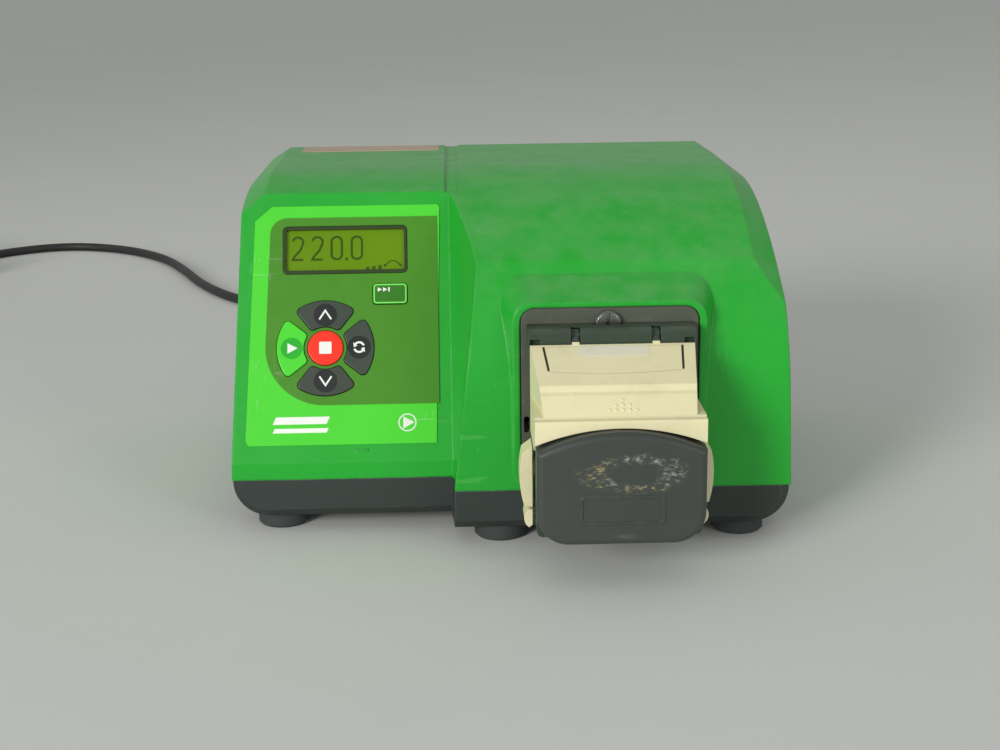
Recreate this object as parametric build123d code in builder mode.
from build123d import *
import math
import os

# Bench-top peristaltic pump: a cased drive with a keypad on the left and a
# flip-top pumphead on the right. +X is right, -Y is the front, +Z is up.
# The origin is under the middle of the drive and pumphead, on the surface
# that the feet stand on. All lengths are millimetres.

os.makedirs("parts", exist_ok=True)

# ---------------------------------------------------------------- driving sizes
CASE_WIDTH = 266.0
CASE_DEPTH = 229.0
CASE_HEIGHT = 164.2
HEAD_REACH = 62.0
SEAM_Z = 27.3
TRAY_BOTTOM = 8.0
WALL = 3.0
LEFT_SETBACK = 22.7
SIDE_DRAFT = 2.0
CORD_DIAMETER = 7.3

REAR_PROUD = 4.8
FRAME_PROUD = 0.4
FRONT = -(CASE_DEPTH + REAR_PROUD - HEAD_REACH - FRAME_PROUD) / 2
BACK = FRONT + CASE_DEPTH
HALF = CASE_WIDTH / 2
LEFT_FRONT = FRONT + LEFT_SETBACK

# ---------------------------------------------------------------- case outline
FOLD_Z = 35.8
KEYPAD_LEAN = 25.7
KEYPAD_SLOPE = 134.9
LEFT_TOP_Y = LEFT_FRONT + KEYPAD_SLOPE * math.sin(math.radians(KEYPAD_LEAN))
LEFT_TOP_Z = FOLD_Z + KEYPAD_SLOPE * math.cos(math.radians(KEYPAD_LEAN))
ROOF_FLAT_Y = FRONT + 127.3
ROOF_CURVE = 0.0032
NOSE_TOP_Y = FRONT + 26.5
NOSE_BEND_Z = 70.0
STEP_X_LOW = -25.7
STEP_X_HIGH = -13.7
ROOF_CHAMFER_ACROSS = 11.1
ROOF_CHAMFER_DOWN = 7.4
GROOVE_LEFT = -28.0
GROOVE_RIGHT = -20.8
GROOVE_DEPTH = 0.9


def roof_z(y):
    """Height of the roof at depth y: flat at the back, falling to the front."""
    return CASE_HEIGHT - ROOF_CURVE * max(0.0, ROOF_FLAT_Y - y) ** 2


NOSE_TOP_Z = roof_z(NOSE_TOP_Y)
NOSE_RISE = NOSE_TOP_Z - NOSE_BEND_Z
NOSE_BACK = NOSE_TOP_Y - FRONT
NOSE_RADIUS = (NOSE_RISE**2 + NOSE_BACK**2) / (2 * NOSE_BACK)
NOSE_LEAN = math.asin(NOSE_RISE / NOSE_RADIUS)
REAR_BEVEL = 9.0
ABOVE = 10.0
LEFT_RUN = (CASE_HEIGHT + ABOVE - FOLD_Z) * math.tan(math.radians(KEYPAD_LEAN))

# Side outlines of the keypad side and of the nose, left open above the roof line.
with BuildSketch(Plane.YZ) as left_outline:
    with BuildLine():
        Polyline(
            (BACK, SEAM_Z),
            (LEFT_FRONT, SEAM_Z),
            (LEFT_FRONT, FOLD_Z),
            (LEFT_FRONT + LEFT_RUN, CASE_HEIGHT + ABOVE),
            (BACK - REAR_BEVEL - ABOVE, CASE_HEIGHT + ABOVE),
            (BACK, CASE_HEIGHT - REAR_BEVEL),
            close=True,
        )
    make_face()

with BuildSketch(Plane.YZ) as nose_outline:
    with BuildLine():
        Polyline((BACK, SEAM_Z), (FRONT, SEAM_Z), (FRONT, NOSE_BEND_Z))
        RadiusArc((FRONT, NOSE_BEND_Z), (NOSE_TOP_Y, NOSE_TOP_Z), NOSE_RADIUS)
        Polyline(
            (NOSE_TOP_Y, NOSE_TOP_Z),
            (NOSE_TOP_Y + 30 * math.sin(NOSE_LEAN), NOSE_TOP_Z + 30 * math.cos(NOSE_LEAN)),
            (ROOF_FLAT_Y, CASE_HEIGHT + ABOVE),
            (BACK - REAR_BEVEL - ABOVE, CASE_HEIGHT + ABOVE),
            (BACK, CASE_HEIGHT - REAR_BEVEL),
            (BACK, SEAM_Z),
        )
    make_face()

# Keypad face: x to the right, y up the slope from the fold, z out of the face.
KEYPAD = Plane(
    origin=(0, LEFT_FRONT, FOLD_Z),
    x_dir=(1, 0, 0),
    z_dir=(0, -math.cos(math.radians(KEYPAD_LEAN)), math.sin(math.radians(KEYPAD_LEAN))),
)

# ---------------------------------------------------------------- pumphead sizes
HEAD_X = 46.8
PLATE_WIDTH = 83.0
PLATE_BOTTOM = 30.4
PLATE_TOP = 115.0
PLATE_HEIGHT = PLATE_TOP - PLATE_BOTTOM
PLATE_Z = (PLATE_TOP + PLATE_BOTTOM) / 2
PLATE_FACE = FRONT - 0.4
COLLAR = 3.2
COLLAR_GROWTH = 9.0
COLLAR_DEEP = 21.0
PLATE_SLOT = (HEAD_X - 38.4, 59.5)
SHAFT_Z = 56.0
ROLLER_CIRCLE = 16.0
ROLLER_RADIUS = 6.0
TRACK_INNER = 25.0
TRACK_OUTER = 28.0
HINGE_Y = PLATE_FACE - 7.0
HINGE_Z = 103.6


def front_plane(y):
    """A sketch plane facing the front at depth y: x right, y up, extrudes forward."""
    return Plane.XZ.offset(-y)


# ---------------------------------------------------------------- upper case
STEP_RUN = STEP_X_HIGH - STEP_X_LOW
STEP_RISE = NOSE_TOP_Z - SEAM_Z
STEP_PLANE = Plane(origin=(STEP_X_LOW, 0, SEAM_Z), z_dir=(STEP_RISE, 0, -STEP_RUN))
TURN_X = -20.6
TURN_BACK = 0.2895
TURN_UP = 0.1397
TURNED_PLANE = Plane(origin=(TURN_X, FRONT, SEAM_Z), z_dir=(1, TURN_BACK, -TURN_UP))
KEYPAD_LEFT = -121.5
KEYPAD_RIGHT = -36.0
KEYPAD_LOW = 13.0
KEYPAD_HIGH = 122.5
REAR_HALF = 116.0
REAR_LOW = 32.0
REAR_HIGH = 148.0
PANEL_THICK = 2.0
SIDE_DRAFT_AT_ROOF = (CASE_HEIGHT - SEAM_Z) * math.tan(math.radians(SIDE_DRAFT))

BOSS_RADIUS = 4.5
SCREW_RADIUS = 1.75
SCREW_INSET = 11.0
CASE_SCREWS = [(-70.0, LEFT_FRONT + SCREW_INSET, -1), (94.0, FRONT + SCREW_INSET, -1)]
CASE_SCREWS += [(-80.0, BACK - SCREW_INSET, 1), (80.0, BACK - SCREW_INSET, 1)]

# Everything below the roof, with its side edges chamfered along their whole curve.
ROOF_HALF = HALF - SIDE_DRAFT_AT_ROOF - ROOF_CHAMFER_ACROSS
FORM_HALF = HALF + 8
FORM_DROP = ROOF_CHAMFER_DOWN * (FORM_HALF - ROOF_HALF) / ROOF_CHAMFER_ACROSS
FORM_Y = [FRONT - 10, FRONT + 20, FRONT + 50, FRONT + 80, FRONT + 105, ROOF_FLAT_Y]
GROOVE_Y = [LEFT_TOP_Y - 1, LEFT_TOP_Y + 15, LEFT_TOP_Y + 30, ROOF_FLAT_Y]
with BuildPart() as roof_form:
    for x, drop in ((-FORM_HALF, FORM_DROP), (-ROOF_HALF, 0), (ROOF_HALF, 0), (FORM_HALF, FORM_DROP)):
        with BuildSketch(Plane.YZ.offset(x)):
            with BuildLine():
                Spline(*[(y, roof_z(y) - drop) for y in FORM_Y])
                Polyline(
                    (ROOF_FLAT_Y, CASE_HEIGHT - drop),
                    (BACK + 5, CASE_HEIGHT - drop),
                    (BACK + 5, 0),
                    (FRONT - 10, 0),
                    (FRONT - 10, roof_z(FRONT - 10) - drop),
                )
            make_face()
    loft(ruled=True)

# The nose behind the pumphead stands in front of the keypad side. Its left side turns
# from the nose's own edge back to the edge of the keypad.
noses = []
for cut in (STEP_PLANE, TURNED_PLANE):
    with BuildPart() as nose:
        with BuildSketch(Plane.YZ.offset(-HALF / 2)):
            add(nose_outline.sketch_local)
        extrude(amount=1.5 * HALF)
        split(bisect_by=cut, keep=Keep.TOP)
    noses.append(nose.part)

with BuildPart() as upper_case:
    add(noses)
    with BuildSketch(Plane.YZ.offset(-HALF)):
        add(left_outline.sketch_local)
    extrude(amount=CASE_WIDTH)
    # Both sides lean in a little towards the roof.
    for side in (-1, 1):
        lean = Vector(math.cos(math.radians(SIDE_DRAFT)), 0, math.sin(math.radians(SIDE_DRAFT)))
        side_plane = Plane(origin=(side * HALF, 0, SEAM_Z), z_dir=(side * lean.X, 0, lean.Z))
        split(bisect_by=side_plane, keep=Keep.BOTTOM)
    add(roof_form.part, mode=Mode.INTERSECT)
    # Hollow inside: a wide lower room and a narrower one under the roof chamfers.
    for inset, half_width in ((WALL, HALF - 18), (12.0, HALF - 8.5)):
        with BuildSketch(Plane.YZ.offset(-half_width)):
            with BuildLine():
                Polyline(
                    (BACK - WALL, SEAM_Z - 1),
                    (LEFT_FRONT + WALL, SEAM_Z - 1),
                    (LEFT_FRONT + WALL, FOLD_Z),
                    (LEFT_TOP_Y + inset * 0.9, LEFT_TOP_Z - inset),
                    (ROOF_FLAT_Y, CASE_HEIGHT - inset),
                    (BACK - 9, CASE_HEIGHT - inset),
                    (BACK - WALL, CASE_HEIGHT - 9 - inset),
                    close=True,
                )
            make_face()
        extrude(amount=2 * half_width, mode=Mode.SUBTRACT)
        with BuildSketch(Plane.YZ.offset(STEP_X_HIGH + 4)):
            with BuildLine():
                Polyline(
                    (BACK - WALL, SEAM_Z - 1),
                    (FRONT + WALL, SEAM_Z - 1),
                    (FRONT + WALL, NOSE_BEND_Z),
                    (NOSE_TOP_Y + inset * 1.2, NOSE_TOP_Z - inset * 1.2),
                    (NOSE_TOP_Y + 45, roof_z(NOSE_TOP_Y + 45) - inset * 1.3),
                    (ROOF_FLAT_Y, CASE_HEIGHT - inset - 1),
                    (BACK - WALL, CASE_HEIGHT - 9 - inset),
                    close=True,
                )
            make_face()
        extrude(amount=half_width - STEP_X_HIGH - 4, mode=Mode.SUBTRACT)
    # Shallow groove along the roof behind the step.
    with BuildSketch(Plane.YZ.offset(GROOVE_LEFT)):
        with BuildLine():
            Spline(*[(y, roof_z(y) - GROOVE_DEPTH) for y in GROOVE_Y])
            Polyline(
                (ROOF_FLAT_Y, CASE_HEIGHT - GROOVE_DEPTH),
                (BACK + 5, CASE_HEIGHT - GROOVE_DEPTH),
                (BACK + 5, CASE_HEIGHT + ABOVE),
                (GROOVE_Y[0], CASE_HEIGHT + ABOVE),
                (GROOVE_Y[0], roof_z(GROOVE_Y[0]) - GROOVE_DEPTH),
            )
        make_face()
    extrude(amount=GROOVE_RIGHT - GROOVE_LEFT, mode=Mode.SUBTRACT)
    # Raised collar and pocket for the mounting plate, blended into the nose above it.
    with BuildSketch(front_plane(FRONT + COLLAR_DEEP)):
        with Locations((HEAD_X, PLATE_Z + COLLAR_GROWTH / 2)):
            RectangleRounded(
                PLATE_WIDTH + 2 * COLLAR + 2 * COLLAR_GROWTH,
                PLATE_HEIGHT + 2 * COLLAR - 2.0 + COLLAR_GROWTH,
                14,
            )
    with BuildSketch(front_plane(FRONT - 1)):
        with Locations((HEAD_X, PLATE_Z)):
            RectangleRounded(PLATE_WIDTH + 2 * COLLAR, PLATE_HEIGHT + 2 * COLLAR - 2.0, 9)
    loft()
    with BuildSketch(front_plane(FRONT + WALL)):
        with Locations((HEAD_X, PLATE_Z)):
            RectangleRounded(PLATE_WIDTH, PLATE_HEIGHT, 7)
    extrude(amount=10, mode=Mode.SUBTRACT)
    with BuildSketch(front_plane(FRONT + 30)):
        with Locations((HEAD_X, PLATE_Z)):
            RectangleRounded(PLATE_WIDTH - 14, PLATE_HEIGHT - 6, 5)
        with Locations((PLATE_SLOT[0] + 1.2, PLATE_SLOT[1])):
            Rectangle(6.6, 10.4)
    extrude(amount=40, mode=Mode.SUBTRACT)
    # Screw bosses inside the lower edge.
    for x, y, rib in CASE_SCREWS:
        with BuildSketch(Plane.XY.offset(SEAM_Z)):
            with Locations((x, y)):
                Circle(BOSS_RADIUS)
            with Locations((x, y + rib * 4.5)):
                Rectangle(2 * BOSS_RADIUS - 3, 9)
        extrude(amount=14)
        with BuildSketch(Plane.XY.offset(SEAM_Z)):
            with Locations((x, y)):
                Circle(SCREW_RADIUS)
        extrude(amount=14, mode=Mode.SUBTRACT)
    # Opening behind the keypad, and the one that the rear panel closes.
    with BuildSketch(KEYPAD.offset(1)):
        with Locations(((KEYPAD_LEFT + KEYPAD_RIGHT) / 2, (KEYPAD_LOW + KEYPAD_HIGH) / 2)):
            RectangleRounded(KEYPAD_RIGHT - KEYPAD_LEFT, KEYPAD_HIGH - KEYPAD_LOW, 4)
    extrude(amount=-9, mode=Mode.SUBTRACT)
    with BuildSketch(front_plane(BACK + 1)):
        with Locations((0, (REAR_LOW + REAR_HIGH) / 2)):
            Rectangle(2 * REAR_HALF, REAR_HIGH - REAR_LOW)
    extrude(amount=PANEL_THICK + 3, mode=Mode.SUBTRACT)
upper_case.part.label = "upper_case"
export_step(upper_case.part, "parts/upper_case.step")

# ---------------------------------------------------------------- base tray
TRAY_CURVE = 17.0
TRAY_WALL = 3.0
FOOTPRINT = [
    (-HALF, LEFT_FRONT),
    (STEP_X_LOW - 1.5, LEFT_FRONT),
    (STEP_X_LOW, FRONT),
    (HALF, FRONT),
    (HALF, BACK),
    (-HALF, BACK),
]
with BuildPart() as base_tray:
    with BuildSketch(Plane.XY.offset(TRAY_BOTTOM)):
        Polygon(*FOOTPRINT, align=None)
    extrude(amount=SEAM_Z - TRAY_BOTTOM)
    with BuildSketch(front_plane(BACK)):
        with BuildLine():
            Polyline(
                (-HALF + TRAY_CURVE, TRAY_BOTTOM),
                (HALF - TRAY_CURVE, TRAY_BOTTOM),
            )
            RadiusArc((HALF - TRAY_CURVE, TRAY_BOTTOM), (HALF, TRAY_BOTTOM + TRAY_CURVE), -TRAY_CURVE)
            Polyline(
                (HALF, TRAY_BOTTOM + TRAY_CURVE),
                (HALF, SEAM_Z),
                (-HALF, SEAM_Z),
                (-HALF, TRAY_BOTTOM + TRAY_CURVE),
            )
            RadiusArc((-HALF, TRAY_BOTTOM + TRAY_CURVE), (-HALF + TRAY_CURVE, TRAY_BOTTOM), -TRAY_CURVE)
        make_face()
    extrude(amount=CASE_DEPTH, mode=Mode.INTERSECT)
    front_bottom = [
        e
        for e in base_tray.edges().filter_by(Axis.X)
        if e.center().Z < TRAY_BOTTOM + 0.1 and e.center().Y < LEFT_FRONT + 1
    ]
    chamfer(front_bottom, length=4.5)
    with BuildSketch(Plane.XY.offset(TRAY_BOTTOM + TRAY_WALL)):
        Polygon(*FOOTPRINT, align=None)
        offset(amount=-TRAY_CURVE * 0.55, kind=Kind.INTERSECTION, mode=Mode.REPLACE)
    extrude(amount=SEAM_Z, mode=Mode.SUBTRACT)
    with BuildSketch(Plane.XY.offset(TRAY_BOTTOM + 1)):
        with Locations(*[(x, y) for x, y, rib in CASE_SCREWS]):
            Circle(BOSS_RADIUS)
    extrude(amount=SEAM_Z - TRAY_BOTTOM - 1)
    with BuildSketch(Plane.XY.offset(TRAY_BOTTOM - 1)):
        with Locations(*[(x, y) for x, y, rib in CASE_SCREWS]):
            Circle(SCREW_RADIUS)
    extrude(amount=SEAM_Z, mode=Mode.SUBTRACT)
    with BuildSketch(Plane.XY.offset(TRAY_BOTTOM - 1)):
        with Locations(*[(x, y) for x, y, rib in CASE_SCREWS]):
            Circle(3.6)
    extrude(amount=4, mode=Mode.SUBTRACT)
    FOOT_SPOTS = [(-110.7, LEFT_FRONT + 19.5), (-4.0, FRONT + 17.5), (111.0, FRONT + 19.5)]
    FOOT_SPOTS += [(-108.0, BACK - 22.0), (108.0, BACK - 22.0)]
    with BuildSketch(Plane.XY.offset(TRAY_BOTTOM - 1)):
        with Locations(*FOOT_SPOTS):
            Circle(2.1)
    extrude(amount=6, mode=Mode.SUBTRACT)
base_tray.part.label = "base_tray"
export_step(base_tray.part, "parts/base_tray.step")

# ---------------------------------------------------------------- feet
FOOT_RADIUS = 12.5
FOOT_RECESS = 3.5
with BuildPart() as feet:
    with Locations(*FOOT_SPOTS):
        Cylinder(FOOT_RADIUS, TRAY_BOTTOM, align=(Align.CENTER, Align.CENTER, Align.MIN))
    chamfer(feet.edges().filter_by(lambda e: e.center().Z < 0.1), length=1.2)
    with BuildSketch():
        with Locations(*FOOT_SPOTS):
            Circle(5.0)
    extrude(amount=FOOT_RECESS, mode=Mode.SUBTRACT)
    with BuildSketch():
        with Locations(*FOOT_SPOTS):
            Circle(2.1)
    extrude(amount=TRAY_BOTTOM, mode=Mode.SUBTRACT)
feet.part.label = "feet"
export_step(feet.part, "parts/feet.step")

with BuildPart() as foot_screws:
    with BuildSketch(Plane.XY.offset(FOOT_RECESS)):
        with Locations(*FOOT_SPOTS):
            Circle(1.95)
    extrude(amount=TRAY_BOTTOM + TRAY_WALL + 2 - FOOT_RECESS)
    with BuildSketch(Plane.XY.offset(FOOT_RECESS - 2.6)):
        with Locations(*FOOT_SPOTS):
            Circle(3.8)
    extrude(amount=2.6)
    with BuildSketch(Plane.XY.offset(FOOT_RECESS - 2.6)):
        with Locations(*FOOT_SPOTS):
            RegularPolygon(1.7, 6)
    extrude(amount=1.4, mode=Mode.SUBTRACT)
foot_screws.part.label = "foot_screws"
export_step(foot_screws.part, "parts/foot_screws.step")

# ---------------------------------------------------------------- mounting plate
PLATE_THICK = 3.0
PLATE_BACK = PLATE_FACE + PLATE_THICK
SHAFT_BORE = 9.0
HEAD_SCREW = (HEAD_X - 1.0, 107.4)
SCREW_HEAD_RADIUS = 6.2
SCREW_HEAD_HIGH = 3.4
with BuildPart() as mounting_plate:
    with BuildSketch(front_plane(PLATE_BACK)):
        with Locations((HEAD_X, PLATE_Z)):
            RectangleRounded(PLATE_WIDTH - 0.3, PLATE_HEIGHT - 0.3, 6.8)
        with Locations((HEAD_X, SHAFT_Z)):
            Circle(SHAFT_BORE, mode=Mode.SUBTRACT)
        with Locations(HEAD_SCREW):
            Circle(2.6, mode=Mode.SUBTRACT)
        with Locations(PLATE_SLOT):
            SlotOverall(8.0, 2.6, rotation=90, mode=Mode.SUBTRACT)
    extrude(amount=PLATE_THICK)
    front_rim = mounting_plate.faces().sort_by(Axis.Y)[0].outer_wire().edges()
    chamfer(front_rim, length=0.7)
mounting_plate.part.label = "mounting_plate"
export_step(mounting_plate.part, "parts/mounting_plate.step")

with BuildPart() as pumphead_screw:
    with BuildSketch(front_plane(PLATE_BACK + 6)):
        with Locations(HEAD_SCREW):
            Circle(2.55)
    extrude(amount=6 + PLATE_THICK)
    with BuildSketch(front_plane(PLATE_FACE)):
        with Locations(HEAD_SCREW):
            Circle(SCREW_HEAD_RADIUS)
    extrude(amount=SCREW_HEAD_HIGH)
    head_rim = pumphead_screw.faces().sort_by(Axis.Y)[0].edges()
    chamfer(head_rim, length=0.9)
    with BuildSketch(front_plane(PLATE_FACE - 1.7)):
        with Locations(HEAD_SCREW):
            Rectangle(1.5, 14)
    extrude(amount=3, mode=Mode.SUBTRACT)
pumphead_screw.part.label = "pumphead_screw"
export_step(pumphead_screw.part, "parts/pumphead_screw.step")

# ---------------------------------------------------------------- pumphead body
BAR_HALF = 38.2
BAR_BOTTOM = 98.9
BAR_TOP = 107.5
BAR_DEPTH = 12.6
BODY_HALF = 36.5
BODY_BOTTOM = 22.2
BODY_SIDE_TOP = 60.0
BODY_WALL = 3.2
BACKPLATE_DEPTH = 13.0
BODY_DEPTH = 49.6
GUARD_DEPTH = HEAD_REACH - 0.4
TAB_SPOTS = (HEAD_X - 16.6, HEAD_X + 19.9)
TAB_WIDTH = 3.4
TUBE_SLOT_DEPTH = 30.0
TUBE_SLOT_WIDTH = 7.0
TUBE_SLOT_LOW = 34.0
TUBE_SLOT_HIGH = 56.0
SELECTOR_STEM = 3.0
SELECTOR_STEM_Z = 28.0
SELECTOR_SLIDE = 2.0


def ahead(depth):
    """A front-facing sketch plane this far in front of the mounting plate."""
    return front_plane(PLATE_FACE - depth)


with BuildPart() as pumphead_body:
    with BuildSketch(ahead(0)):
        with Locations((HEAD_X, (BODY_BOTTOM + BAR_BOTTOM - 0.5) / 2)):
            RectangleRounded(2 * BODY_HALF, BAR_BOTTOM - 0.5 - BODY_BOTTOM, 3)
        with Locations((HEAD_X, SHAFT_Z)):
            Circle(SHAFT_BORE, mode=Mode.SUBTRACT)
    extrude(amount=BACKPLATE_DEPTH)
    # Side walls and floor round the rotor.
    with BuildSketch(ahead(0)):
        with Locations((HEAD_X, (BODY_BOTTOM + BODY_SIDE_TOP) / 2)):
            Rectangle(2 * BODY_HALF, BODY_SIDE_TOP - BODY_BOTTOM)
        with Locations((HEAD_X, (BODY_BOTTOM + BODY_SIDE_TOP) / 2 + BODY_WALL)):
            Rectangle(2 * (BODY_HALF - BODY_WALL), BODY_SIDE_TOP - BODY_BOTTOM, mode=Mode.SUBTRACT)
    extrude(amount=BODY_DEPTH)
    low_edges = [
        e
        for e in pumphead_body.edges().filter_by(Axis.Y)
        if e.center().Z < BODY_BOTTOM + 0.1 and e.length > 20
    ]
    fillet(low_edges, radius=2.8)
    # The lower edge stands clear of the case's collar.
    with BuildSketch(ahead(0)):
        with Locations((HEAD_X, PLATE_BOTTOM - 9)):
            Rectangle(2 * BODY_HALF + 2, 19)
    extrude(amount=1.2, mode=Mode.SUBTRACT)
    # A slot in each side wall for the tube and its clamps.
    with BuildSketch(Plane.YZ.offset(HEAD_X - BODY_HALF - 1)):
        with Locations((PLATE_FACE - TUBE_SLOT_DEPTH, (TUBE_SLOT_LOW + TUBE_SLOT_HIGH) / 2)):
            Rectangle(TUBE_SLOT_WIDTH + 0.8, TUBE_SLOT_HIGH - TUBE_SLOT_LOW)
    extrude(amount=2 * BODY_HALF + 2, mode=Mode.SUBTRACT)
    with BuildSketch(Plane.YZ.offset(HEAD_X - BODY_HALF - 1)):
        with Locations((PLATE_FACE - TUBE_SLOT_DEPTH, SELECTOR_STEM_Z)):
            Rectangle(SELECTOR_STEM + 2 * SELECTOR_SLIDE + 1.0, SELECTOR_STEM + 0.8)
    extrude(amount=2 * BODY_HALF + 2, mode=Mode.SUBTRACT)
    # A guide groove in the back plate for the track slide.
    with BuildSketch(ahead(5)):
        with Locations((HEAD_X, 88.0)):
            Rectangle(16.8, 30)
    extrude(amount=BACKPLATE_DEPTH, mode=Mode.SUBTRACT)
pumphead_body.part.label = "pumphead_body"
export_step(pumphead_body.part, "parts/pumphead_body.step")

with BuildPart() as hinge_bar:
    with BuildSketch(ahead(0.1)):
        with Locations((HEAD_X, (BAR_BOTTOM + BAR_TOP) / 2)):
            Rectangle(2 * BAR_HALF, BAR_TOP - BAR_BOTTOM)
    extrude(amount=BAR_DEPTH - 0.1)
    top_front = hinge_bar.edges().filter_by(Axis.X).filter_by(
        lambda e: e.center().Z > BAR_TOP - 0.1 and e.center().Y < PLATE_FACE - BAR_DEPTH + 0.2
    )
    fillet(top_front, radius=2.2)
    # Round pocket in the back for the head of the fixing screw.
    with BuildSketch(ahead(0)):
        with Locations(HEAD_SCREW):
            Circle(SCREW_HEAD_RADIUS + 0.4)
    extrude(amount=SCREW_HEAD_HIGH + 0.4, mode=Mode.SUBTRACT)
    # Two notches take the hinge tabs and two shallow ones lighten the ends.
    for x in TAB_SPOTS:
        with BuildSketch(ahead(1.5)):
            with Locations((x, BAR_BOTTOM + 2.2)):
                Rectangle(TAB_WIDTH + 0.8, 4.6 + 2.4)
        extrude(amount=BAR_DEPTH, mode=Mode.SUBTRACT)
        with BuildSketch(Plane.YZ.offset(x - TAB_WIDTH / 2 - 0.4)):
            with Locations((HINGE_Y, HINGE_Z)):
                Circle(3.2)
            with Locations((HINGE_Y + 1.0 - BAR_DEPTH / 2, HINGE_Z + BAR_TOP / 2)):
                Rectangle(BAR_DEPTH, BAR_TOP)
        extrude(amount=TAB_WIDTH + 0.8, mode=Mode.SUBTRACT)
    for x in (HEAD_X - BAR_HALF + 3.2, HEAD_X + BAR_HALF - 3.2):
        with BuildSketch(ahead(BAR_DEPTH - 3)):
            with Locations((x, BAR_BOTTOM + 1.8)):
                Rectangle(4.6, 4.6)
        extrude(amount=4, mode=Mode.SUBTRACT)
    with BuildSketch(Plane.YZ.offset(HEAD_X - BAR_HALF - 1)):
        with Locations((HINGE_Y, HINGE_Z)):
            Circle(1.5)
    extrude(amount=2 * BAR_HALF + 2, mode=Mode.SUBTRACT)
hinge_bar.part.label = "hinge_bar"
export_step(hinge_bar.part, "parts/hinge_bar.step")

# The pin is in two halves, one for each tab, clear of the fixing screw.
with BuildPart() as hinge_pins:
    for start, end in ((HEAD_X - BAR_HALF + 0.4, HEAD_X - 9), (HEAD_X + 8, HEAD_X + BAR_HALF - 0.4)):
        with BuildSketch(Plane.YZ.offset(start)):
            with Locations((HINGE_Y, HINGE_Z)):
                Circle(1.5)
        extrude(amount=end - start)
hinge_pins.part.label = "hinge_pins"
export_step(hinge_pins.part, "parts/hinge_pins.step")

# ---------------------------------------------------------------- front guard
GUARD_HALF = 36.9
GUARD_BOTTOM = 22.0
ARCH_SIDE_Z = 64.2
ARCH_MID_Z = 72.8
GUARD_CORNER = 14.0


def guard_outline(inset, half):
    """Guard outline with an arched top and round lower corners."""
    side = half - inset
    low = GUARD_BOTTOM + inset
    corner = GUARD_CORNER - inset
    with BuildSketch() as outline:
        with BuildLine():
            Line((-side, low + corner), (-side, ARCH_SIDE_Z - inset))
            crown = (0, ARCH_MID_Z - inset)
            ThreePointArc((-side, ARCH_SIDE_Z - inset), crown, (side, ARCH_SIDE_Z - inset))
            Line((side, ARCH_SIDE_Z - inset), (side, low + corner))
            RadiusArc((side, low + corner), (side - corner, low), corner)
            Line((side - corner, low), (-side + corner, low))
            RadiusArc((-side + corner, low), (-side, low + corner), corner)
        make_face()
    return outline.sketch


GUARD_PLANE = Plane(origin=(HEAD_X, PLATE_FACE - BODY_DEPTH, 0), x_dir=(1, 0, 0), z_dir=(0, -1, 0))
GUARD_THICK = GUARD_DEPTH - BODY_DEPTH
with BuildPart() as front_guard:
    with BuildSketch(GUARD_PLANE):
        add(guard_outline(0, GUARD_HALF))
    extrude(amount=GUARD_THICK)
    front_rim = front_guard.faces().sort_by(Axis.Y)[0].outer_wire().edges()
    fillet(front_rim, radius=3.0)
    with BuildSketch(GUARD_PLANE):
        add(guard_outline(2.6, GUARD_HALF))
    extrude(amount=GUARD_THICK - 3.0, mode=Mode.SUBTRACT)
    # Plain raised frame low on the front face.
    with BuildSketch(GUARD_PLANE.offset(GUARD_THICK - 0.1)):
        with Locations((0.2, 38.2)):
            RectangleRounded(37, 13, 2)
            RectangleRounded(34.6, 10.6, 1.4, mode=Mode.SUBTRACT)
    extrude(amount=0.5)
front_guard.part.label = "front_guard"
export_step(front_guard.part, "parts/front_guard.step")

# ---------------------------------------------------------------- flip top
TOP_HALF = 37.4
TOP_WALL = 2.4
TOP_BACK = 13.3
TOP_BACK_Z = 100.6
RIDGE_DEPTH = 40.0
RIDGE_Z = 88.6
TOP_SIDE_LOW = 60.7
LEDGE_Z = 77.5
TOP_FAR = 60.0
TOP_TAPER = 4.9
UPPER_HOLLOW_HALF = 31.4
TOP_SLOPE = math.degrees(math.atan2(TOP_BACK_Z - RIDGE_Z, RIDGE_DEPTH - TOP_BACK))
TOP_PROFILE = [
    (TOP_BACK, TOP_BACK_Z),
    (RIDGE_DEPTH, RIDGE_Z),
    (RIDGE_DEPTH + 1.6, 86.0),
    (RIDGE_DEPTH + 3.4, 85.0),
    (51.0, 77.4),
    (52.0, 76.8),
    (55.4, 76.6),
    (55.4, TOP_SIDE_LOW),
    (TOP_BACK, TOP_SIDE_LOW),
]
SLOPE_PLANE = Plane(
    origin=(HEAD_X, PLATE_FACE - TOP_BACK, TOP_BACK_Z),
    x_dir=(1, 0, 0),
    z_dir=(0, -math.sin(math.radians(TOP_SLOPE)), math.cos(math.radians(TOP_SLOPE))),
)


def panel_outline(inset):
    """Outline of the inlaid panel on the flip top's slope."""
    back = -1.2 - inset
    low = -19.0 + inset
    with BuildSketch() as outline:
        with BuildLine():
            Line((-31.6 + inset, back), (31.6 - inset, back))
            Line((31.6 - inset, back), (30.2 - inset, low))
            ThreePointArc((30.2 - inset, low), (0, low - 2.2), (-30.2 + inset, low))
            Line((-30.2 + inset, low), (-31.6 + inset, back))
        make_face()
    return outline.sketch


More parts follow.
